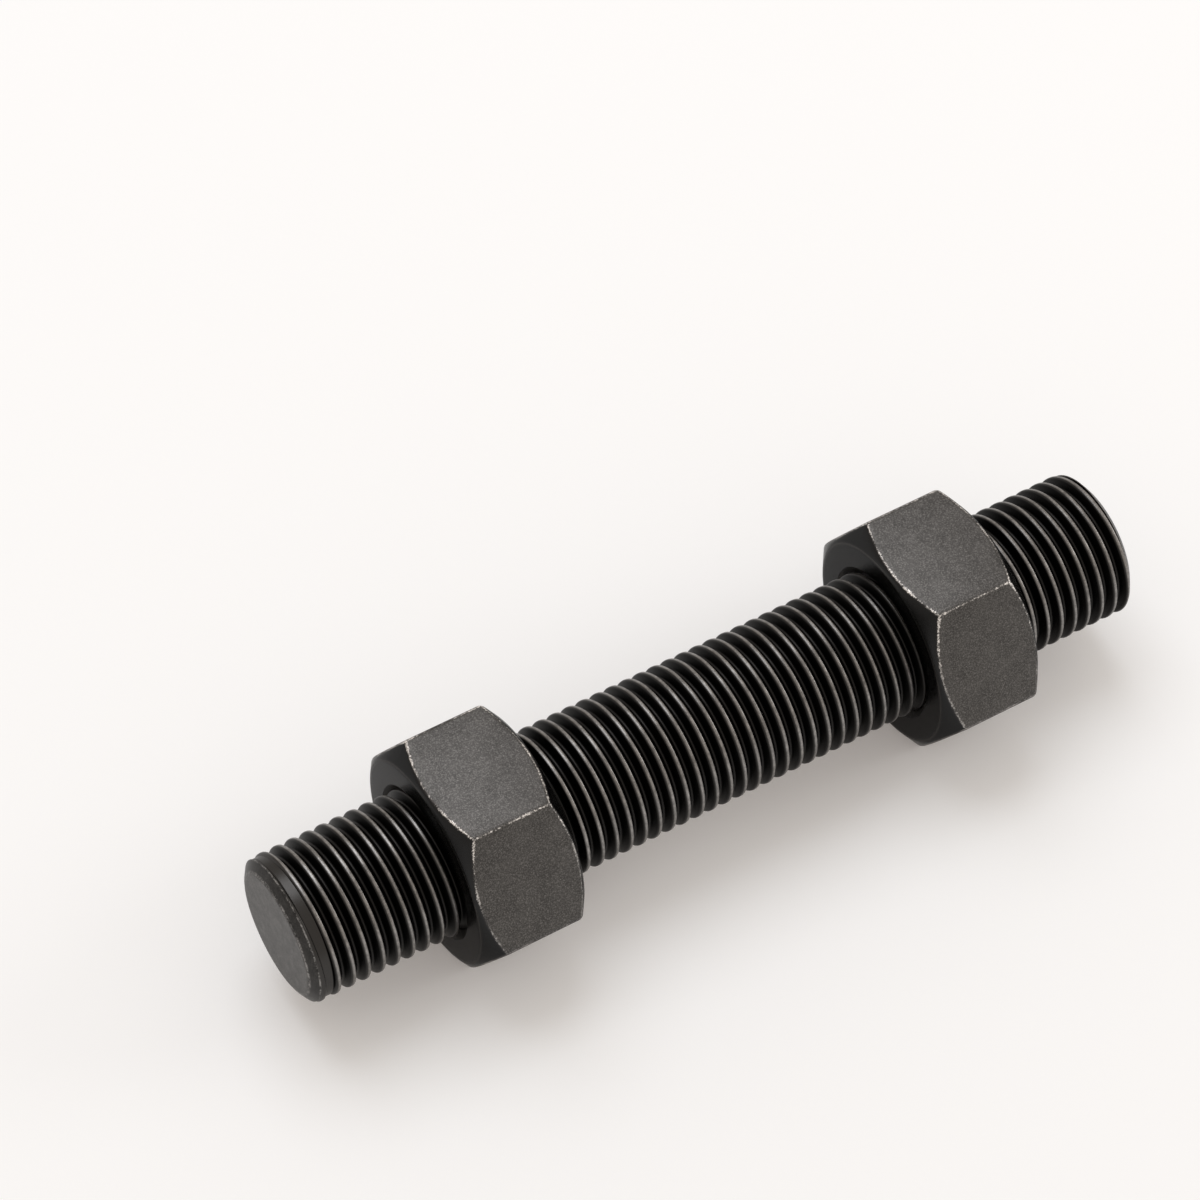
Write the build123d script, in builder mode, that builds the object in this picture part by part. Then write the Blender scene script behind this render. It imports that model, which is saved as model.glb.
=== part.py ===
"""Double ended stud with two hexagon nuts, M33 coarse thread, 200 mm long without its points.

The stud lies along X with its two nuts resting on a flat each. The origin is on the surface it
lies on, below the middle of the stud. +Z is up. Sizes are in millimetres.

The stud is turned as a plain bar of the thread's major diameter, with the pointed ends that let
a nut start. The helical thread itself is cut in the visual model.
"""

import os
from math import radians, sqrt, tan

from build123d import *

# Stud
thread_diameter = 33.0  # major diameter of the thread
threaded_length = 200.0  # between the two pointed ends
end_face_diameter = 27.8  # flat disc on each end, just under the thread's root
end_point_length = 1.75  # half a turn of the thread
stud_length = threaded_length + 2 * end_point_length

# Nuts
across_flats = 49.0
nut_height = 25.0
bearing_face_diameter = 46.5  # flat ring that the chamfer leaves on both faces
nut_chamfer_angle = 35.0  # from the face towards the flats
countersink_diameter = 35.6  # mouth of the bore
running_clearance = 0.08  # radial, between the stud and the bore

# Places of the nuts: how far the stud stands out beyond each
left_end_out = 35.1
right_end_out = 30.4

axis_height = across_flats / 2
stud_axis = Axis((0, 0, axis_height), (1, 0, 0))


def half_section(outline):
    """Half section of a turned piece on the stud's axis, from outline points (x, radius)."""
    start_x, end_x = outline[0][0], outline[-1][0]
    axis_plane = Plane(origin=(0, 0, axis_height), x_dir=(1, 0, 0), z_dir=(0, -1, 0))
    with BuildSketch(axis_plane) as section:
        with BuildLine():
            Polyline((start_x, 0), *outline, (end_x, 0), close=True)
        make_face()
    return section.sketch


def hexagon_nut(start_x):
    """Hexagon nut with both faces chamfered, from start_x towards +X, resting on one flat."""
    end_x = start_x + nut_height
    corner_radius = across_flats / sqrt(3)
    face_radius = bearing_face_diameter / 2
    corner_cut = (corner_radius - face_radius) * tan(radians(nut_chamfer_angle))
    bore_radius = thread_diameter / 2 + running_clearance
    # the turned chamfer leaves a round face and a curved edge on every flat
    turned_blank = half_section(
        [
            (start_x, face_radius),
            (start_x + corner_cut, corner_radius),
            (end_x - corner_cut, corner_radius),
            (end_x, face_radius),
        ]
    )
    face_plane = Plane(origin=(start_x, 0, axis_height), x_dir=(0, 1, 0), z_dir=(1, 0, 0))

    with BuildPart() as nut:
        with BuildSketch(face_plane):
            RegularPolygon(radius=across_flats / 2, side_count=6, major_radius=False)
        extrude(amount=nut_height)
        revolve(turned_blank, axis=stud_axis, mode=Mode.INTERSECT)
        with Locations(face_plane):
            Hole(radius=bore_radius)
        bore_mouths = nut.edges().filter_by(GeomType.CIRCLE).group_by(SortBy.RADIUS)[0]
        chamfer(bore_mouths, length=countersink_diameter / 2 - bore_radius)
    return nut


with BuildPart() as stud:
    revolve(
        half_section(
            [
                (-stud_length / 2, end_face_diameter / 2),
                (-threaded_length / 2, thread_diameter / 2),
                (threaded_length / 2, thread_diameter / 2),
                (stud_length / 2, end_face_diameter / 2),
            ]
        ),
        axis=stud_axis,
    )

left_nut = hexagon_nut(-stud_length / 2 + left_end_out)
right_nut = hexagon_nut(stud_length / 2 - right_end_out - nut_height)

stud.part.label = "stud"
left_nut.part.label = "left_nut"
right_nut.part.label = "right_nut"

os.makedirs("parts", exist_ok=True)
export_step(stud.part, "parts/stud.step")
export_step(left_nut.part, "parts/left_nut.step")
export_step(right_nut.part, "parts/right_nut.step")
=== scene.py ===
# %% [markdown]
# # A double ended stud with two nuts
#
# The part is a steel bar with a right-hand thread from end to end, and two thick hexagon nuts on
# it. The solid model beside this file holds the sizes and the places. This file adds the two
# things that the solid leaves out: the cut thread and the finish of blackened steel. Each step is
# explained before its code, and each cell prints what it made.
#
# Everything is in metres and in the solid model's own frame: the stud lies along X, +Z is up, and
# the nuts rest on the floor at Z = 0.

# %% Load the solid model
from math import cos, pi, radians, sin, tan

import bmesh
import bpy
from mathutils import Matrix, Vector


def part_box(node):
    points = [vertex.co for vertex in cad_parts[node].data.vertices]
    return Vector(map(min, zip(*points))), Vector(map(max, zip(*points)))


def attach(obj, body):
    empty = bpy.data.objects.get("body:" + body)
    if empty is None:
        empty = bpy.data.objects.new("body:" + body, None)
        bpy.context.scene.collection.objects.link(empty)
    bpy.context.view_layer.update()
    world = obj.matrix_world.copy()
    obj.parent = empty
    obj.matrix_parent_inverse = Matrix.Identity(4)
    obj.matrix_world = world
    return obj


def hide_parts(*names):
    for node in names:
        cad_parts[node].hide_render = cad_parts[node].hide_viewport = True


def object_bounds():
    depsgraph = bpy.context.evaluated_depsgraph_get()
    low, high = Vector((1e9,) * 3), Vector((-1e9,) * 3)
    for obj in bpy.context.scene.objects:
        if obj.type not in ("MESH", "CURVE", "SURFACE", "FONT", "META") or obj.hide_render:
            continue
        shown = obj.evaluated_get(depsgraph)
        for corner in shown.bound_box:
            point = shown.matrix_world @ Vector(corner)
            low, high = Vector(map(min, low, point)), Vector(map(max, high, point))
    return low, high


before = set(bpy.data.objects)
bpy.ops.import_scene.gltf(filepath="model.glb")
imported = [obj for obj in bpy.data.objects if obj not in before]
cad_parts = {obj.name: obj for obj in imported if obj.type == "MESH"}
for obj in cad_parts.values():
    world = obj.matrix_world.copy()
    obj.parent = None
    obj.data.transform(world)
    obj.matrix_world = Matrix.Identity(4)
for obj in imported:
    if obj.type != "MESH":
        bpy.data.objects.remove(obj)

MM = 0.001
solid_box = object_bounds()
solid_size = Vector(solid_box[1]) - Vector(solid_box[0])
print("solid model, mm:", [round(side / MM, 1) for side in solid_size])

# %% [markdown]
# ## Sizes of the stud
#
# A thread is described by its major diameter, over the crests, and its pitch, from one crest to
# the next. The solid stud is a plain bar of the major diameter, so its box gives the diameter, the
# length and the height of the axis. The numbers could be typed in again here, but read from the
# solid they follow any change to it. The pitch is the standard coarse one for this diameter.
#
# Each end is pointed: a cone runs down from the crests to a flat disc just below the thread's
# root. Behind the cone a short collar has no thread yet, longer on the left than on the right.

# %% Measure the stud
stud_low, stud_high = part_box("stud")
AXIS_HEIGHT = (stud_low.z + stud_high.z) / 2
CREST_RADIUS = (stud_high.z - stud_low.z) / 2
END_X = stud_high.x
PITCH = 3.5 * MM
THREAD_START = 0.30 * PITCH  # where a crest crosses the top of the bar
END_FACE_RADIUS = 13.9 * MM
END_POINT_LENGTH = 1.75 * MM  # from the disc to the full diameter
POINT_SLOPE = (CREST_RADIUS - END_FACE_RADIUS) / END_POINT_LENGTH
CONE_LENGTH = 1.5 * MM  # the part of the point that the thread leaves whole
CONE_RADIUS = END_FACE_RADIUS + CONE_LENGTH * POINT_SLOPE
LEFT_COLLAR_END = 4.6 * MM  # both are measured from the end of the stud
RIGHT_COLLAR_END = 2.4 * MM
print(f"crest radius {CREST_RADIUS / MM:.2f} mm, half length {END_X / MM:.1f} mm,",
      f"{2 * END_X / PITCH:.1f} turns, axis {AXIS_HEIGHT / MM:.1f} mm up")

# %% [markdown]
# ## The camera
#
# A long lens from above and to the left flattens the perspective, as in a catalogue picture. A
# camera can be given three coordinates and three rotations. Here it is placed by the point that it
# looks at, its distance and two angles, which are easier to think in: the heading it looks along,
# from +Y towards +X, and how far it looks down.

# %% Camera
CAMERA_AIM = Vector((-0.0003, 0.0397, AXIS_HEIGHT))
CAMERA_DISTANCE = 1.0810
CAMERA_HEADING = radians(33.09)
CAMERA_DOWN = radians(54.03)
CAMERA_ROLL = radians(2.70)
CAMERA_LENS = 150  # millimetres, as is the sensor's width
CAMERA_SENSOR = 36

level_heading = Vector((sin(CAMERA_HEADING), cos(CAMERA_HEADING), 0))
view_direction = cos(CAMERA_DOWN) * level_heading - Vector((0, 0, sin(CAMERA_DOWN)))
camera = bpy.data.objects.new("camera", bpy.data.cameras.new("camera"))
camera.data.lens = CAMERA_LENS
camera.data.sensor_width = CAMERA_SENSOR
camera.matrix_world = (
    Matrix.Translation(CAMERA_AIM - CAMERA_DISTANCE * view_direction)
    @ view_direction.to_track_quat("-Z", "Y").to_matrix().to_4x4()
    @ Matrix.Rotation(CAMERA_ROLL, 4, "Z")
)
bpy.context.scene.collection.objects.link(camera)
bpy.context.scene.camera = camera
print("camera at", [round(v, 3) for v in camera.matrix_world.translation])

# %% [markdown]
# ## Shader maths as Python
#
# A procedural material is arithmetic on the place of each point. Wired by hand in the editor that
# is dozens of Math nodes. A small class wraps a socket and lets Python's own operators add them
# instead, so that a mask reads as the formula that it is. Every other node comes from its one
# method, `node`. A Mix node has a set of sockets for each kind of data, and the colour ones are
# picked by number.

# %% Socket wrapper
MIX_FACTOR, MIX_FIRST, MIX_SECOND, MIX_RESULT = 0, 6, 7, 2


class Wire:
    """An output socket that can stand in an arithmetic expression."""

    def __init__(self, tree, socket=None):
        self.tree = tree
        self.socket = socket

    def node(self, kind, inputs=None, output=0, **settings):
        """Adds a node with these settings, and gives its inputs their values and links."""
        made = self.tree.nodes.new(kind)
        for name, value in settings.items():
            setattr(made, name, value)
        for name, value in (inputs or {}).items():
            if isinstance(value, Wire):
                self.tree.links.new(value.socket, made.inputs[name])
            else:
                made.inputs[name].default_value = value
        return Wire(self.tree, made.outputs[output])

    def maths(self, operation, *values):
        return self.node("ShaderNodeMath", dict(enumerate(values)), operation=operation)

    def __add__(self, other):
        return self.maths("ADD", self, other)

    def __radd__(self, other):
        return self.maths("ADD", other, self)

    def __sub__(self, other):
        return self.maths("SUBTRACT", self, other)

    def __rsub__(self, other):
        return self.maths("SUBTRACT", other, self)

    def __mul__(self, other):
        return self.maths("MULTIPLY", self, other)

    def __rmul__(self, other):
        return self.maths("MULTIPLY", other, self)

    def __abs__(self):
        return self.maths("ABSOLUTE", self)

    def least(self, other):
        return self.maths("MINIMUM", self, other)

    def most(self, other):
        return self.maths("MAXIMUM", self, other)

    def root(self):
        return self.maths("SQRT", self)

    def ramp(self, start, end):
        """0 up to start, 1 from end on, and a smooth step between; start may be above end."""
        inputs = {"Value": self, "From Min": start, "From Max": end}
        return self.node("ShaderNodeMapRange", inputs, interpolation_type="SMOOTHSTEP", clamp=True)

    def blend(self, first, second):
        """Colour that goes from first to second as this value goes from 0 to 1."""
        inputs = {MIX_FACTOR: self, MIX_FIRST: first, MIX_SECOND: second}
        settings = {"data_type": "RGBA", "clamp_factor": True}
        return self.node("ShaderNodeMix", inputs, output=MIX_RESULT, **settings)


print("colour sockets of a Mix node:", MIX_FACTOR, MIX_FIRST, MIX_SECOND, "in,", MIX_RESULT, "out")

# %% [markdown]
# ## A metal to start from
#
# Both finishes are of steel, bare where it is worn and blackened elsewhere. The black could be
# mixed in as a second, painted shader. But the layer is so thin that it still shines like metal,
# so one metal shader with a darker colour is nearer to it. At a glancing angle any metal turns to
# a white mirror, and a blackened one does so less: a grey specular tint holds that back. All greys
# of the steel are a touch warm.

# %% Metal
STEEL_WARMTH = 0.045


def new_material(name):
    """A material with an empty Principled shader, the shader, and a Wire to build with."""
    material = bpy.data.materials.new(name)
    material.use_nodes = True
    return material, material.node_tree.nodes["Principled BSDF"], Wire(material.node_tree)


def plug_in(shader, **values):
    """Links values to the shader's sockets, whose names have spaces for the underscores."""
    for name, value in values.items():
        value.tree.links.new(value.socket, shader.inputs[name.replace("_", " ")])


def grey(level, warmth=STEEL_WARMTH):
    """A grey of this level, a little redder than blue unless its warmth is 0."""
    return (level * (1 + warmth), level, level * (1 - warmth), 1)


def make_metal(shader, glancing_level):
    """Makes the shader a metal whose reflections are held back at a glancing angle."""
    shader.inputs["Metallic"].default_value = 1.0
    shader.inputs["Specular Tint"].default_value = grey(glancing_level, warmth=0)


print("mid grey of the steel:", [round(v, 3) for v in grey(0.5)])

# %% [markdown]
# ## Coordinates of turned steel
#
# Turning leaves fine marks that run round the axis. They could be drawn on an unwrapped mesh, but
# a helix is hard to unwrap without a seam. Instead each point gets the three distances that a
# turner thinks in: along the axis, round it, and out from it. Noise that is stretched in the
# second of these gives the marks on a crest, on a cone and on an end face alike.

# %% Coordinates about the axis
class Place:
    """Where a point lies about the stud's axis, for one material."""

    def __init__(self, wire):
        self.point = wire.node("ShaderNodeTexCoord", output="Object")
        self.along, self.across, height = [
            wire.node("ShaderNodeSeparateXYZ", {"Vector": self.point}, output=axis) for axis in "XYZ"
        ]
        self.up = height - AXIS_HEIGHT
        self.out = (self.across * self.across + self.up * self.up).root()
        self.angle = wire.maths("ARCTAN2", self.across, self.up)
        turned = {"X": self.along, "Y": self.angle * CREST_RADIUS, "Z": self.out}
        self.turned = wire.node("ShaderNodeCombineXYZ", turned)

    def noise(self, size, detail=2, roughness=0.5):
        """Noise of about 0 to 1 with grains of this size, the same in every direction."""
        inputs = {"Vector": self.point, "Scale": 1 / size, "Detail": detail, "Roughness": roughness}
        return self.point.node("ShaderNodeTexNoise", inputs)

    def turning_marks(self, width, length, detail=3, roughness=0.6):
        """Noise drawn out round the axis into marks of this width and length."""
        scale = (1 / width, 1 / length, 1 / width)
        scaled = self.turned.node("ShaderNodeMapping", {"Vector": self.turned, "Scale": scale})
        inputs = {"Vector": scaled, "Scale": 1, "Detail": detail, "Roughness": roughness}
        return self.turned.node("ShaderNodeTexNoise", inputs)

    def bump(self, height, strength, distance):
        """A normal tilted by this height, which stands up by distance where it is 1."""
        inputs = {"Height": height, "Strength": strength, "Distance": distance}
        return self.point.node("ShaderNodeBump", inputs)


print("a turn at the crest is", round(2 * pi * CREST_RADIUS / MM, 1), "mm round")

# %% [markdown]
# ## Where the stud is bare
#
# Blackened steel shines where it was turned and rubbed: on the crests, the cones, the collar and
# the end discs. Those faces could be picked by hand and given a second material, with a hard line
# between the two. But all of them lie on the skin of the blank that the thread was cut into, so
# one number tells them from the black groove, softly: the depth below that skin.
#
# One side of each crest is painted lighter than the other, a painted highlight. Counting turns along
# the helix gives each point's distance from the middle of its crest, whatever its place round the
# bar.

# %% Stud regions
CREST_DEPTH = 0.03 * MM
FLANK_DEPTH = 0.45 * MM
ROOT_DEPTH = 1.60 * MM
ROOT_BLEND = 0.12 * MM
NOTCH_TOP = CONE_RADIUS - 0.40 * MM
COLLAR_SKIN = CONE_RADIUS - 0.28 * MM
COLLAR_BLEND = 0.2 * MM
RIM_WIDTH = 0.16 * MM
RIM_CORE = 0.4 * RIM_WIDTH
HIGHLIGHT_SIDE_START = -0.12  # in pitches from the middle of the crest
HIGHLIGHT_SIDE_END = 0.02


class StudRegions:
    """Masks of 0 to 1 that say where on the stud a point is."""

    def __init__(self, place):
        from_end = END_X - abs(place.along)
        from_left = place.along + END_X
        self.left_collar = from_left.ramp(LEFT_COLLAR_END, LEFT_COLLAR_END - COLLAR_BLEND)
        self.pointed_end = from_end.ramp(CONE_LENGTH + RIM_WIDTH, CONE_LENGTH)
        self.cone = from_end.ramp(0.0, RIM_WIDTH)

        skin_radius = (END_FACE_RADIUS + from_end * POINT_SLOPE).least(CREST_RADIUS)
        depth = (skin_radius - place.out).most(0.0).least(from_end.most(0.0))
        collar_skin = self.left_collar * place.out.ramp(NOTCH_TOP, COLLAR_SKIN)
        self.skin = depth.ramp(FLANK_DEPTH, CREST_DEPTH).most(collar_skin)
        self.root = depth.ramp(ROOT_DEPTH, ROOT_DEPTH + ROOT_BLEND)

        turns = (place.along - THREAD_START) * (1 / PITCH) + place.angle * (1 / (2 * pi))
        from_crest = turns.maths("FRACT", turns + 0.5) - 0.5  # -0.5 to 0.5, and 0 on the crest
        # painted highlight: each crest is painted lighter from its middle towards +X
        self.highlit_side = from_crest.ramp(HIGHLIGHT_SIDE_START, HIGHLIGHT_SIDE_END)

        from_disc_rim = from_end.most(END_FACE_RADIUS - place.out)
        disc_rim = from_disc_rim.ramp(2 * RIM_WIDTH, RIM_WIDTH)
        cone_rim = abs(from_end - CONE_LENGTH).ramp(RIM_WIDTH, RIM_CORE)
        self.rims = disc_rim.most(cone_rim)


print("black from", FLANK_DEPTH / MM, "mm below the skin of the blank")

# %% [markdown]
# ## The stud's finish
#
# The stud is satin black with bright lines on its crests, wear with a painted highlight on one
# side, a soft mottle on its discs and small chips along its rims. One picture for each could be
# painted. Noise needs no picture, has no seam and stays sharp close up. Three noises make all of
# the wear: marks of the turning tool, patches of handling, and a fine speck. Each region mixes them
# in its own shares, and a pair of bounds says from where to where in the mix the steel goes from
# black to bare.

# %% Stud finish
MARK_WIDTH = 0.10 * MM
MARK_LENGTH = 1.6 * MM
PATCH_SIZE = 1.8 * MM
STUD_SPECK_SIZE = 0.30 * MM
RUBBED_CRESTS = 0.60, 0.95  # in a mix of noises, where the steel is black and where it is bare
MOTTLED_DISCS = 0.42, 0.62
MOTTLED_CONES = 0.38, 0.68
CHIPPED_RIMS = 0.44, 0.60
# the bare grey of the crests is also the colour of their painted highlight
CREST_GREYS = grey(0.030), grey(0.36)  # black and bare
DISC_GREYS = grey(0.046), grey(0.150)
CONE_GREYS = grey(0.026), grey(0.060)
# the second grey paints the root of the groove a little lighter: a painted reflection
GROOVE_GREYS = grey(0.0045), grey(0.022)
COLLAR_GREY = grey(0.050)
CHIP_GREY = grey(0.28)
LEAST_CREST_HIGHLIGHT = 0.40
GROOVE_ROUGHNESS = 0.40
SKIN_POLISH = 0.08  # how much less rough the bare skin is
STUD_SPECK_ROUGHNESS = 0.16
STUD_BUMP = {"strength": 0.35, "distance": 0.02 * MM}
STUD_GLANCING_LEVEL = 0.72


def stud_finish():
    material, shader, wire = new_material("stud_steel")
    place = Place(wire)
    on = StudRegions(place)
    marks = place.turning_marks(MARK_WIDTH, MARK_LENGTH)
    patches = place.noise(PATCH_SIZE, detail=5, roughness=0.65)
    speck = place.noise(STUD_SPECK_SIZE, detail=3, roughness=0.65)

    rubbed = (0.45 * marks + 0.55 * patches + 0.5 * speck).ramp(*RUBBED_CRESTS)
    # painted highlight on one side of each crest, broken up by the rubbed wear
    crest_wear_and_highlight = on.highlit_side * (LEAST_CREST_HIGHLIGHT + (1 - LEAST_CREST_HIGHLIGHT) * rubbed)
    crest = on.left_collar.blend(crest_wear_and_highlight.blend(*CREST_GREYS), COLLAR_GREY)
    disc = (0.35 * patches + 0.65 * speck).ramp(*MOTTLED_DISCS).blend(*DISC_GREYS)
    cone = (0.3 * marks + 0.3 * patches + 0.4 * speck).ramp(*MOTTLED_CONES).blend(*CONE_GREYS)
    chipped = on.rims * (0.5 * patches + 0.5 * speck).ramp(*CHIPPED_RIMS)
    bare = on.pointed_end.blend(crest, on.cone.blend(disc, cone))
    bare = chipped.blend(bare, CHIP_GREY)
    # the root of the groove is painted lighter than its flanks, a painted reflection
    colour = on.skin.blend(on.root.blend(*GROOVE_GREYS), bare)

    roughness = GROOVE_ROUGHNESS - SKIN_POLISH * on.skin + STUD_SPECK_ROUGHNESS * (speck - 0.5)
    bump = place.bump(marks + speck, **STUD_BUMP)
    plug_in(shader, Base_Color=colour, Roughness=roughness, Normal=bump)
    make_metal(shader, STUD_GLANCING_LEVEL)
    return material


stud_steel = stud_finish()
print("stud finish:", len(stud_steel.node_tree.nodes), "nodes")

# %% [markdown]
# ## Turning and sawing
#
# A lathe and a die both work by turning, and so does the spin operator. Spun once round the axis,
# an outline gives a turned piece. If it also moves on by one pitch in that turn, a zigzag outline
# gives a thread: the last copy lands where the first one's next tooth stands, and the seam merges.
# The Screw modifier could do both, but it would leave the seam and the ragged ends to be mended.
# A saw cut is a bisecting plane, and the hole that it leaves is filled.

# %% Lathe and saw
AXIS_POINT = Vector((0, 0, AXIS_HEIGHT))
MERGE_DISTANCE = 0.002 * MM
CUT_TOLERANCE = 0.0001 * MM


def lathe(outline, steps, lead=0.0, closed=False):
    """Spins (x, radius) points round the axis while they move along it by lead."""
    bm = bmesh.new()
    verts = [bm.verts.new((x, 0, AXIS_HEIGHT + radius)) for x, radius in outline]
    pairs = list(zip(verts, verts[1:] + verts[:1])) if closed else list(zip(verts, verts[1:]))
    edges = [bm.edges.new(pair) for pair in pairs]
    bmesh.ops.spin(
        bm, geom=verts + edges, cent=AXIS_POINT, axis=(1, 0, 0), dvec=(lead / steps, 0, 0),
        angle=2 * pi, steps=steps, use_merge=lead == 0, use_duplicate=False,
    )
    bmesh.ops.remove_doubles(bm, verts=bm.verts, dist=MERGE_DISTANCE)
    bmesh.ops.recalc_face_normals(bm, faces=bm.faces)
    return bm


def cut_off(bm, point, outwards):
    """Cuts away all that lies beyond a plane and closes the cut with a flat face."""
    cut = bmesh.ops.bisect_plane(
        bm, geom=list(bm.verts) + list(bm.edges) + list(bm.faces), dist=CUT_TOLERANCE,
        plane_co=point, plane_no=outwards, clear_outer=True,
    )
    rim = [element for element in cut["geom_cut"] if isinstance(element, bmesh.types.BMEdge)]
    bmesh.ops.holes_fill(bm, edges=rim, sides=0)


print("points closer than", round(MERGE_DISTANCE / MM, 4), "mm are merged")

# %% [markdown]
# ## From mesh to piece
#
# A bmesh only becomes visible as the mesh of an object. Steel that was turned or cut is smooth
# round a curve and has a crisp line where two cuts meet. The sharp edges could be marked one by
# one, but with thousands of them the angle between the faces decides. A closed mesh has no open
# edge: each edge joins two faces.

# %% Pieces
SHARP_ANGLE = radians(28)


def shade(piece):
    """Smooth shading, except where two faces meet at more than the sharp angle."""
    piece.data.shade_smooth()
    piece.data.set_sharp_from_angle(angle=SHARP_ANGLE)


def to_object(bm, name, material):
    """Finishes a bmesh as an object with its normals outwards."""
    bmesh.ops.recalc_face_normals(bm, faces=bm.faces)
    mesh = bpy.data.meshes.new(name)
    bm.to_mesh(mesh)
    bm.free()
    mesh.materials.append(material)
    made = bpy.data.objects.new(name, mesh)
    bpy.context.scene.collection.objects.link(made)
    shade(made)
    return made


def describe(piece):
    """Prints how large a finished mesh is and whether it is closed."""
    bm = bmesh.new()
    bm.from_mesh(piece.data)
    open_edges = sum(len(edge.link_faces) != 2 for edge in bm.edges)
    triangles = sum(len(face.verts) - 2 for face in bm.faces)
    print(f"{piece.name}: {triangles} triangles, {open_edges} open edges,",
          f"{bm.calc_volume() / MM**3:.0f} mm3")
    bm.free()


print("edges over", round(SHARP_ANGLE * 180 / pi), "degrees are sharp")

# %% [markdown]
# ## Carving with a Boolean
#
# Threads run out into cones and bores in curves that no outline gives, so the pieces are carved
# with one another, as a tap carves a nut. The fast solver can leave holes where so many faces
# cross. The exact one is slower but keeps the result closed. Where two surfaces almost touch, it
# leaves doubled points and slivers, which are merged away.

# %% Carve and mend
SOLVER = "EXACT"


def carve(target, tool, operation):
    """Intersects, joins or cuts target with tool, and deletes the tool."""
    modifier = target.modifiers.new("carve", "BOOLEAN")
    modifier.operation = operation
    modifier.solver = SOLVER
    modifier.object = tool
    bpy.context.view_layer.update()
    evaluated = target.evaluated_get(bpy.context.evaluated_depsgraph_get())
    carved = bpy.data.meshes.new_from_object(evaluated)
    target.modifiers.clear()
    target.data = carved
    bpy.data.objects.remove(tool)
    shade(target)


def mend(piece):
    """Merges the doubled points that a Boolean leaves where two surfaces almost touch."""
    bm = bmesh.new()
    bm.from_mesh(piece.data)
    bmesh.ops.remove_doubles(bm, verts=bm.verts, dist=MERGE_DISTANCE)
    bmesh.ops.dissolve_degenerate(bm, edges=bm.edges, dist=MERGE_DISTANCE)
    bm.to_mesh(piece.data)
    bm.free()
    shade(piece)


print("carving with the", SOLVER.lower(), "solver")

# %% [markdown]
# ## One tooth of the thread
#
# Half of the tooth is drawn: the flat crest, a small rounding that catches the light, the flank at
# 30 degrees, and the round root that a rolling die leaves. The other half is its mirror image. The
# roundings could be left to a bevel, but on a whole thread that would take far longer than here,
# where each is four points on an arc, worked out from the angle that it turns through.

# %% Tooth outline
CREST_WIDTH = 0.85 * MM
CREST_ROUNDING = 0.40 * MM
ROOT_ROUNDING = 0.45 * MM
FLANK_ANGLE = radians(30)
ROUNDING_TURN = pi / 2 - FLANK_ANGLE
ARC_PARTS = (0, 0.33, 0.66, 1)


def tooth(crest_radius, crest_width, root_rounding):
    """One pitch of thread as (x, radius) points, from mid-crest to just short of the next."""
    apex_depth = (PITCH - crest_width) / 2 / tan(FLANK_ANGLE)
    bottom_centre = crest_radius - apex_depth + root_rounding / sin(FLANK_ANGLE)
    shoulder_x = crest_width / 2 - CREST_ROUNDING * tan(ROUNDING_TURN / 2)
    points = [(0.0, crest_radius)]
    for part in ARC_PARTS:
        turn = part * ROUNDING_TURN
        drop = CREST_ROUNDING * (1 - cos(turn))
        points.append((shoulder_x + CREST_ROUNDING * sin(turn), crest_radius - drop))
    for part in reversed(ARC_PARTS):
        turn = part * ROUNDING_TURN
        radius = bottom_centre - root_rounding * cos(turn)
        points.append((PITCH / 2 - root_rounding * sin(turn), radius))
    mirrored = [(PITCH - x, radius) for x, radius in reversed(points[1:-1])]
    return points + mirrored


stud_tooth = tooth(CREST_RADIUS, CREST_WIDTH, ROOT_ROUNDING)
root_radius = min(radius for x, radius in stud_tooth)
print(len(stud_tooth), "points a pitch, root radius", round(root_radius / MM, 2), "mm")

# %% [markdown]
# ## A threaded bar
#
# A thread this coarse shows in the outline, so it can't be a bump on a plain bar. One tooth could
# be spun through all of the turns. Here the tooth is repeated along the axis and the whole row is
# spun once, with a lead of one pitch, which gives the same helix with fewer steps to merge. A few
# turns too many are made at each end, because the ends of a helix are ragged, and then both ends
# are sawn off flat. The same helper makes the tap that cuts the nuts.

# %% Threaded bar
THREAD_STEPS = 72
SPARE_TURNS = 3


def threaded_bar(low_x, high_x, tooth_points):
    """A bar with a helical thread, cut off flat at both ends."""
    first = int((low_x - THREAD_START) / PITCH) - SPARE_TURNS
    last = int((high_x - THREAD_START) / PITCH) + SPARE_TURNS
    outline = [
        (THREAD_START + turn * PITCH + x, radius)
        for turn in range(first, last)
        for x, radius in tooth_points
    ]
    bm = lathe(outline, THREAD_STEPS, lead=PITCH)
    cut_off(bm, (low_x, 0, AXIS_HEIGHT), (-1, 0, 0))
    cut_off(bm, (high_x, 0, AXIS_HEIGHT), (1, 0, 0))
    return bm


print(THREAD_STEPS, "steps a turn, each", round(PITCH / THREAD_STEPS / MM, 3), "mm further on")

# %% [markdown]
# ## The stud's ends
#
# On the lathe the ends are pointed first, and the thread then starts behind the cone. What a
# longer threaded bar and a pointed blank have in common is that shape, apart from the cone, which
# the groove would cut into. So a plug is joined on at each end: disc, rounded rim, whole cone,
# notch and collar. The blank is a little shorter than the stud, to leave the plug's rim free, and
# the plug stands out by a hair, because two faces in one plane are hard to join.
#
# A ring of points just inside the rim keeps the rounding from bending the light on the flat disc.

# %% Blank and end plugs
BLANK_OVER = 1.0 * MM
BLANK_RECESS = 0.8 * MM
HAIR = 0.02 * MM
RIM_ROUNDING = 0.35 * MM
RIM_MIDDLE = 0.3 * RIM_ROUNDING  # where the rounding's middle point lies, from both sides
RIM_LAND = 0.10 * MM
INNER_RING = 3 * RIM_ROUNDING  # how far inside the rim the flat disc has its ring of points
NOTCH_DEPTH = 0.35 * MM
COLLAR_DEPTHS = 0.15 * MM, 0.10 * MM  # below the cone's edge, at the collar's start and end
RUNOUT_LENGTH = 0.8 * MM
RUNOUT_DEPTH = 2.0 * MM


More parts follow.
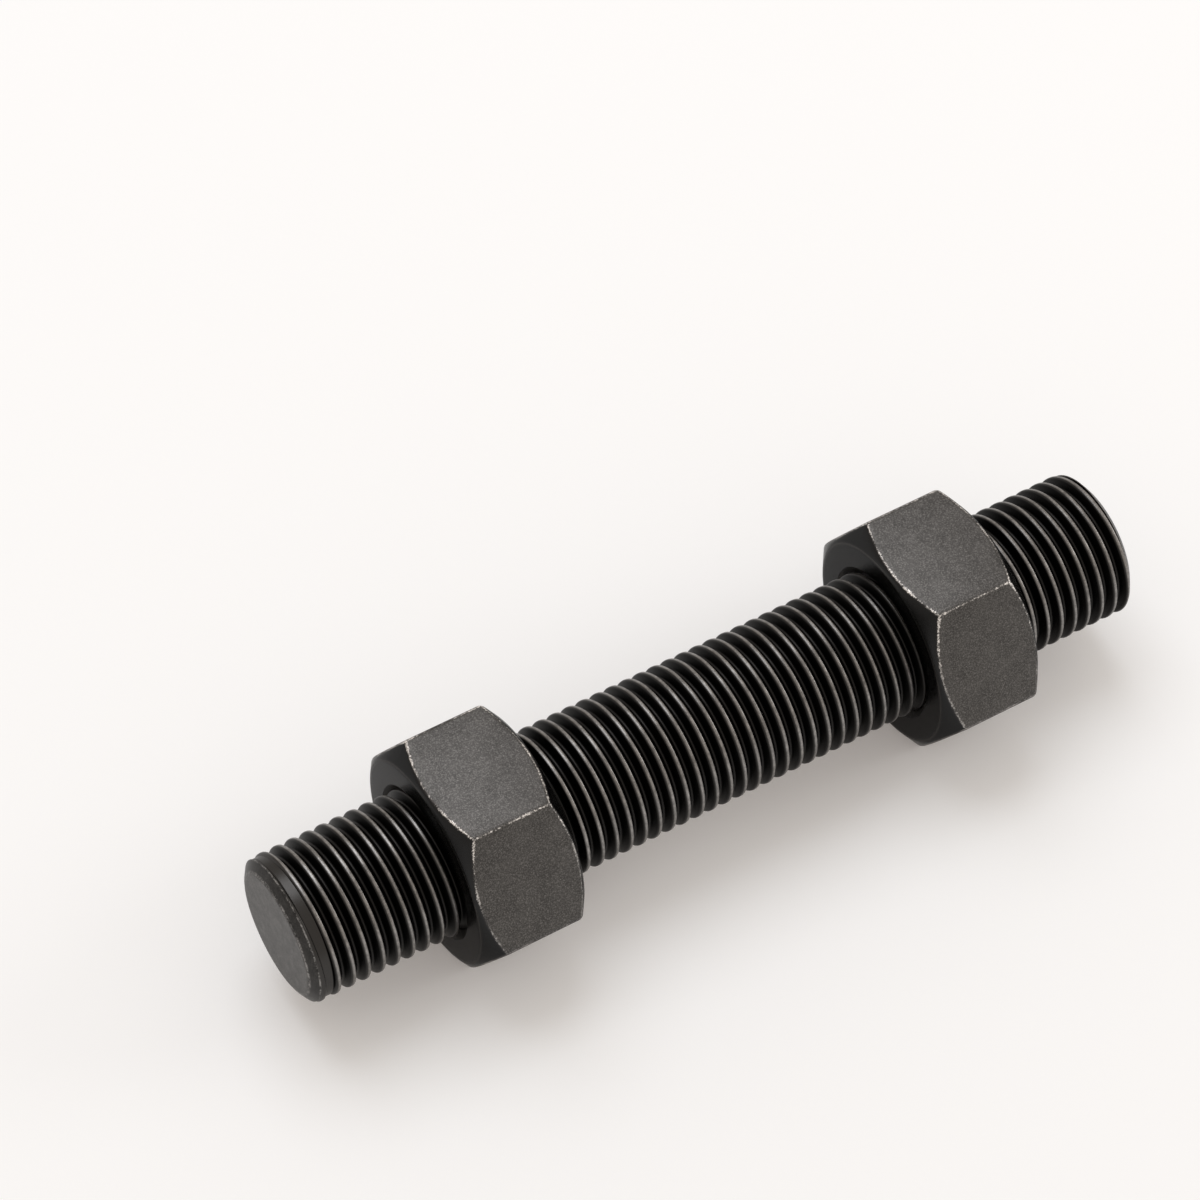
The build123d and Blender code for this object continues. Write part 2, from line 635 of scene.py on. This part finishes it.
def pointed_blank():
    """A bar with both ends pointed, wider than the crests and a little shorter than the stud."""
    end = [
        (BLANK_RECESS, 0.0),
        (BLANK_RECESS, END_FACE_RADIUS + POINT_SLOPE * BLANK_RECESS),
        (END_POINT_LENGTH + BLANK_OVER / POINT_SLOPE, CREST_RADIUS + BLANK_OVER),
    ]
    left = [(-END_X + inwards, radius) for inwards, radius in end]
    right = [(END_X - inwards, radius) for inwards, radius in reversed(end)]
    return lathe(left + right, 2 * THREAD_STEPS)


def end_plug(side, collar_end):
    """The whole cone of one end and its collar: side is -1 on the left, 1 on the right."""
    rim_radius = END_FACE_RADIUS + HAIR
    cone_radius = rim_radius + POINT_SLOPE * CONE_LENGTH
    outline = [
        (-HAIR, 0.0),
        (-HAIR, rim_radius - INNER_RING),
        (-HAIR, rim_radius - RIM_ROUNDING),
        (RIM_MIDDLE, rim_radius - RIM_MIDDLE),
        (RIM_ROUNDING, rim_radius + POINT_SLOPE * RIM_ROUNDING),
        (CONE_LENGTH, cone_radius),
        (CONE_LENGTH + RIM_LAND, cone_radius),
        (CONE_LENGTH + NOTCH_DEPTH, cone_radius - NOTCH_DEPTH),
        (CONE_LENGTH + 2 * NOTCH_DEPTH, cone_radius - COLLAR_DEPTHS[0]),
        (collar_end, cone_radius - COLLAR_DEPTHS[1]),
        (collar_end + RUNOUT_LENGTH, cone_radius - RUNOUT_DEPTH),
        (collar_end + RUNOUT_LENGTH, 0.0),
    ]
    placed = [(side * (END_X - inwards), radius) for inwards, radius in outline]
    return lathe(placed, 2 * THREAD_STEPS)


print(f"rim of the cone at radius {CONE_RADIUS / MM:.2f} mm")

# %% [markdown]
# ## The stud
#
# The threaded bar is carved by the blank, gets its two plugs, and is mended. The thread could also
# be laid over the plain solid as a second skin, but then the solid would show in the groove. So
# the finished stud takes its place: it replaces that node and rides on its body.

# %% Stud
def make_stud():
    bar = threaded_bar(-END_X - PITCH / 2, END_X + PITCH / 2, stud_tooth)
    threaded = to_object(bar, "stud_thread", stud_steel)
    carve(threaded, to_object(pointed_blank(), "pointed_blank", stud_steel), "INTERSECT")
    for side, collar_end in ((-1, LEFT_COLLAR_END), (1, RIGHT_COLLAR_END)):
        plug = to_object(end_plug(side, collar_end), "end_plug", stud_steel)
        carve(threaded, plug, "UNION")
    mend(threaded)
    return threaded


stud = make_stud()
describe(stud)
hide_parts("stud")
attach(stud, "stud")

# %% [markdown]
# ## Sizes of the nuts
#
# Each nut is a hexagonal bar whose two faces are turned to a shallow cone, which leaves a round
# bearing face and a curved edge on every flat. The box of one nut gives the width across flats
# and the height, because both nuts are alike. The angle of the cone, the bearing face and the
# mouth of the bore don't show in a box, and are those that the solid was made with.

# %% Measure the nuts
nut_low, nut_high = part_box("left_nut")
NUT_HALF_FLATS = (nut_high.z - nut_low.z) / 2
NUT_HALF_HEIGHT = (nut_high.x - nut_low.x) / 2
CORNER_RADIUS = NUT_HALF_FLATS / cos(radians(30))
FLAT_ANGLES = [radians(90 + 60 * turn) for turn in range(6)]
NUT_CHAMFER = radians(35)
BEARING_RADIUS = 23.25 * MM
MOUTH_RADIUS = 17.8 * MM
print(f"across flats {2 * NUT_HALF_FLATS / MM:.1f} mm, corners {2 * CORNER_RADIUS / MM:.1f} mm,",
      f"height {2 * NUT_HALF_HEIGHT / MM:.1f} mm")

# %% [markdown]
# ## Where a nut is worn
#
# The black wears off a nut's edges first. The Bevel node or Pointiness could find the edges, but
# the first is slow and grainy, and the second depends on the mesh. An edge is where two of the
# outer surfaces come close together. So the depth below each of them is worked out and the depths
# are ranked: the second smallest is small near an edge only, and large in the middle of a flat.
# Where the third smallest is small as well, three surfaces meet in a corner, which wears a little
# more.

# %% Nut regions
CORNER_FAR = 3.0 * MM
CORNER_NEAR = 0.5 * MM
FLAT_BLEND = 0.3 * MM
FACE_FAR = 0.10 * MM
FACE_NEAR = 0.02 * MM


def ranked(depths):
    """The depths in order, smallest first: each new one is passed down the row to its place."""
    row = []
    for depth in depths:
        for index, other in enumerate(row):
            row[index] = other.least(depth)
            depth = other.most(depth)
        row.append(depth)
    return row


class NutRegions:
    """Masks of 0 to 1 that say where on a nut a point is, and its depth at the edges."""

    def __init__(self, place, middle_x):
        from_face = NUT_HALF_HEIGHT - abs(place.along - middle_x)
        outside_ring = place.out - BEARING_RADIUS
        cone_depth = (from_face - outside_ring * tan(NUT_CHAMFER)) * cos(NUT_CHAMFER)
        flat_depths = [
            NUT_HALF_FLATS - abs(place.across * cos(angle) + place.up * sin(angle))
            for angle in FLAT_ANGLES[:3]  # each stands for the opposite flat too
        ]
        self.edge_depth, corner_depth = ranked([cone_depth] + flat_depths)[1:3]
        self.corner = corner_depth.ramp(CORNER_FAR, CORNER_NEAR)
        self.flat = cone_depth.least(from_face).ramp(0.0, FLAT_BLEND)
        self.bearing_face = from_face.ramp(FACE_FAR, FACE_NEAR)


print("corners start", CORNER_FAR / MM, "mm away")

# %% [markdown]
# ## The nuts' finish
#
# A forged and blackened nut is matt and finely speckled, and smoother and darker on its turned
# cones and faces. A worn edge of even width looks drawn with a pen. So noise pushes its border to
# and fro, and the line along an edge is broken here and broad there. The worn edges are painted
# brighter the higher they lie, a painted highlight of light from above.

# %% Nut finish
NUT_SPECK_SIZE = 0.30 * MM
CLOUD_SIZE = 5.0 * MM
CHIP_SIZE = 0.36 * MM
DOT_SIZE = 0.7 * MM
WEAR_START = 0.33 * MM
WEAR_FULL = 0.15 * MM
WEAR_SWING = 1.6 * MM  # how far the noise pushes the border, for a change from 0 to 1
WEAR_MIDDLE = 0.52
CORNER_WEAR = 0.06
LEAST_EDGE_WEAR = 0.35
# heights over which the painted highlight on the upper edges comes in
TOP_HIGHLIGHT_START = 8.0 * MM  # above the axis
TOP_HIGHLIGHT_FULL = 21.0 * MM
BRIGHT_CHIPS = 0.42, 0.60  # in each noise, where it starts to show and where it shows in full
CLOUDED_FLATS = 0.3, 0.7
SPECKLED_FLATS = 0.42, 0.76
DOTTED_FLATS = 0.72, 0.82
WORN_GREYS = grey(0.36), grey(0.92)
FLAT_GREYS = grey(0.062), grey(0.082)
SPECK_GREY = grey(0.23)
DOT_GREY = grey(0.30)
TURNED_GREYS = grey(0.026, warmth=0), grey(0.034, warmth=0)  # the cone and the bearing face
TURNED_ROUGHNESS = 0.25
FLAT_MATTNESS = 0.25
NUT_SPECK_ROUGHNESS = 0.2
NUT_BUMP = {"strength": 0.5, "distance": 0.05 * MM}
NUT_GLANCING_LEVEL = 0.56


def nut_finish(name, middle_x):
    material, shader, wire = new_material(name)
    place = Place(wire)
    on = NutRegions(place, middle_x)
    speck = place.noise(NUT_SPECK_SIZE, detail=4, roughness=0.75)
    cloud = place.noise(CLOUD_SIZE, detail=5, roughness=0.6)
    chip = place.noise(CHIP_SIZE, detail=4, roughness=0.75)
    dot = place.noise(DOT_SIZE).ramp(*DOTTED_FLATS)

    # painted highlight: worn edges are painted brighter the higher they lie above the axis
    painted_top_highlight = place.up.ramp(TOP_HIGHLIGHT_START, TOP_HIGHLIGHT_FULL)
    edge_wear_and_highlight = LEAST_EDGE_WEAR + (1 - LEAST_EDGE_WEAR) * painted_top_highlight
    uneven = 0.55 * chip + 0.45 * cloud + CORNER_WEAR * on.corner - WEAR_MIDDLE
    border = (on.edge_depth - uneven * WEAR_SWING).ramp(WEAR_START, WEAR_FULL)
    bright = chip.ramp(*BRIGHT_CHIPS).blend(*WORN_GREYS)

    body = cloud.ramp(*CLOUDED_FLATS).blend(*FLAT_GREYS)
    body = speck.ramp(*SPECKLED_FLATS).blend(body, SPECK_GREY)
    body = dot.blend(body, DOT_GREY)
    body = on.flat.blend(on.bearing_face.blend(*TURNED_GREYS), body)
    colour = (border * edge_wear_and_highlight).blend(body, bright)

    roughness = TURNED_ROUGHNESS + FLAT_MATTNESS * on.flat + NUT_SPECK_ROUGHNESS * (speck - 0.5)
    bump = place.bump(speck, **NUT_BUMP)
    plug_in(shader, Base_Color=colour, Roughness=roughness, Normal=bump)
    make_metal(shader, NUT_GLANCING_LEVEL)
    return material


nut_finishes = {}
for node in ("left_nut", "right_nut"):
    low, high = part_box(node)
    nut_finishes[node] = nut_finish(node.replace("nut", "nut_steel"), (low.x + high.x) / 2)
print("nut finish:", len(nut_finishes["left_nut"].node_tree.nodes), "nodes each")

# %% [markdown]
# ## Turning and cutting a nut
#
# A nut could start as a cylinder with six sides, but its chamfer is round, and only turning makes
# the curved edge that it leaves on every flat. So it is made in the order of the shop: a ring is
# turned with both cones and both countersinks, six flats are cut off it and the outer edges are
# broken. The ring starts wider than the corners, so that the six cuts leave clean flats.

# %% Nut blank
NUT_STEPS = 150
RING_OVER = 1.0 * MM
NUT_BORE_RADIUS = 14.9 * MM
NUT_EDGE = 0.75 * MM
NUT_EDGE_ANGLE = radians(12)
NUT_EDGE_SEGMENTS = 3
BORE_MARGIN = 1.0 * MM


def nut_ring(low_x, high_x):
    """Outline of the turned ring, as (x, radius), from inside the bore round to it again."""
    ring_radius = CORNER_RADIUS + RING_OVER
    cone_length = (ring_radius - BEARING_RADIUS) * tan(NUT_CHAMFER)
    mouth_length = MOUTH_RADIUS - NUT_BORE_RADIUS
    return [
        (low_x + mouth_length, NUT_BORE_RADIUS),
        (low_x, MOUTH_RADIUS),
        (low_x, BEARING_RADIUS),
        (low_x + cone_length, ring_radius),
        (high_x - cone_length, ring_radius),
        (high_x, BEARING_RADIUS),
        (high_x, MOUTH_RADIUS),
        (high_x - mouth_length, NUT_BORE_RADIUS),
    ]


def break_edges(bm):
    """Bevels every sharp edge outside the bore."""
    outer_edges = [
        edge for edge in bm.edges
        if edge.calc_face_angle(0) > NUT_EDGE_ANGLE
        and (edge.verts[0].co - AXIS_POINT).yz.length > MOUTH_RADIUS + BORE_MARGIN
    ]
    bmesh.ops.bevel(
        bm, geom=outer_edges, offset=NUT_EDGE, offset_type="OFFSET", affect="EDGES",
        segments=NUT_EDGE_SEGMENTS, profile=0.5, material=-1, clamp_overlap=True,
    )


def nut_blank(low_x, high_x):
    """A hexagon nut whose bore has no thread yet."""
    bm = lathe(nut_ring(low_x, high_x), NUT_STEPS, closed=True)
    for angle in FLAT_ANGLES:
        outwards = Vector((0, cos(angle), sin(angle)))
        cut_off(bm, AXIS_POINT + NUT_HALF_FLATS * outwards, outwards)
    break_edges(bm)
    return bm


print(f"edges are broken by {NUT_EDGE / MM:.2f} mm")

# %% [markdown]
# ## The nuts
#
# The bore shows only where a nut has been turned off the stud, and a plain hole would look wrong
# there. So last comes the tap, a threaded bar a little larger than the stud with its crests in the
# same places. It stands well out of the nut on both sides, and the thread runs out in the
# countersinks.

# %% Nuts
THREAD_CLEARANCE = 0.10 * MM
TAP_ROOT_ROUNDING = 0.2 * MM

tap_tooth = tooth(
    CREST_RADIUS + THREAD_CLEARANCE, CREST_WIDTH + THREAD_CLEARANCE, TAP_ROOT_ROUNDING
)


def make_nut(node):
    low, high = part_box(node)
    nut = to_object(nut_blank(low.x, high.x), node + "_body", nut_finishes[node])
    tap = threaded_bar(low.x - PITCH, high.x + PITCH, tap_tooth)
    carve(nut, to_object(tap, "tap", nut_finishes[node]), "DIFFERENCE")
    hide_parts(node)
    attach(nut, node)
    return nut


for node in ("left_nut", "right_nut"):
    describe(make_nut(node))

# %% [markdown]
# ## The floor
#
# The floor is white paper. It would render as a light grey, because no paper returns all of its
# light. Stronger lamps would make it white and the steel too bright. So where the camera, or a
# reflection, looks at it, it glows a little instead, which brings it up to the white of a studio
# without any more light on the steel. The glow is a little warm, and it shows most in the shadow.

# %% Floor
FLOOR_SIZE = 8.0
FLOOR_COLOUR = (0.795, 0.818, 0.832, 1)
FLOOR_GLOW = (0.180, 0.160, 0.148, 1)
FLOOR_ROUGHNESS = 0.9
FLOOR_SPECULAR = 0.1
BLACK = (0, 0, 0, 1)


def seen_directly(wire):
    """1 where the camera looks, straight or by a reflection, and 0 for the light on things."""
    camera_ray = wire.node("ShaderNodeLightPath", output="Is Camera Ray")
    glossy_ray = wire.node("ShaderNodeLightPath", output="Is Glossy Ray")
    return camera_ray.most(glossy_ray)


def make_floor():
    bm = bmesh.new()
    bmesh.ops.create_grid(bm, x_segments=1, y_segments=1, size=FLOOR_SIZE / 2)
    material, shader, wire = new_material("floor")
    shader.inputs["Base Color"].default_value = FLOOR_COLOUR
    shader.inputs["Roughness"].default_value = FLOOR_ROUGHNESS
    shader.inputs["Specular IOR Level"].default_value = FLOOR_SPECULAR
    shader.inputs["Emission Strength"].default_value = 1.0
    plug_in(shader, Emission_Color=seen_directly(wire).blend(BLACK, FLOOR_GLOW))
    floor = to_object(bm, "floor", material)
    return floor


make_floor()
print("floor", FLOOR_SIZE, "m wide")

# %% [markdown]
# ## The light
#
# Black steel shows little but reflections, so the size of a lamp matters more than its power. The
# surroundings could come from a picture of a studio. A plain world and two lamps do the same here
# and are easier to move. The world gives even light from all round. A large soft lamp above the
# part and towards the back brightens what faces up and puts the soft shadow in front. A weaker
# one, low on the right, gives the crests of the thread their second thin line of light. The world
# is a little warm and the large lamp a little cool, so that the paper is white in the open and
# warm in the shadow.

# %% Lamps and world
LAMP_AIM = (0, 0, 0.02)
WORLD_LEVEL = 0.68
WORLD_COLOUR = (1.0, 0.93, 0.865)
BACKDROP_COLOUR = (0.95, 0.945, 0.94, 1)


def soft_lamp(name, place, size, power, colour):
    """A round lamp of this size in metres and power in watts, turned to face the part."""
    lamp = bpy.data.objects.new(name, bpy.data.lights.new(name, "AREA"))
    lamp.data.shape = "DISK"
    lamp.data.size = size
    lamp.data.energy = power
    lamp.data.color = colour
    lamp.location = place
    lamp.rotation_euler = (Vector(LAMP_AIM) - Vector(place)).to_track_quat("-Z", "Y").to_euler()
    bpy.context.scene.collection.objects.link(lamp)


def light_world():
    """Even light on the part, behind which the camera sees a white backdrop."""
    world = bpy.data.worlds.new("studio")
    bpy.context.scene.world = world
    world.use_nodes = True
    background = world.node_tree.nodes["Background"]
    light = tuple(WORLD_LEVEL * part for part in WORLD_COLOUR) + (1,)
    camera_ray = Wire(world.node_tree).node("ShaderNodeLightPath", output="Is Camera Ray")
    seen = camera_ray.blend(light, BACKDROP_COLOUR)
    world.node_tree.links.new(seen.socket, background.inputs["Color"])


soft_lamp("key", (0.0, 0.90, 1.90), size=1.6, power=15.5, colour=(0.96, 1.0, 1.06))
soft_lamp("right_fill", (1.1, -0.35, 0.6), size=0.6, power=2.0, colour=(1.0, 1.0, 1.0))
light_world()
bpy.context.scene.view_settings.view_transform = "Standard"
print("lamps:", [lamp.name for lamp in bpy.data.lights])
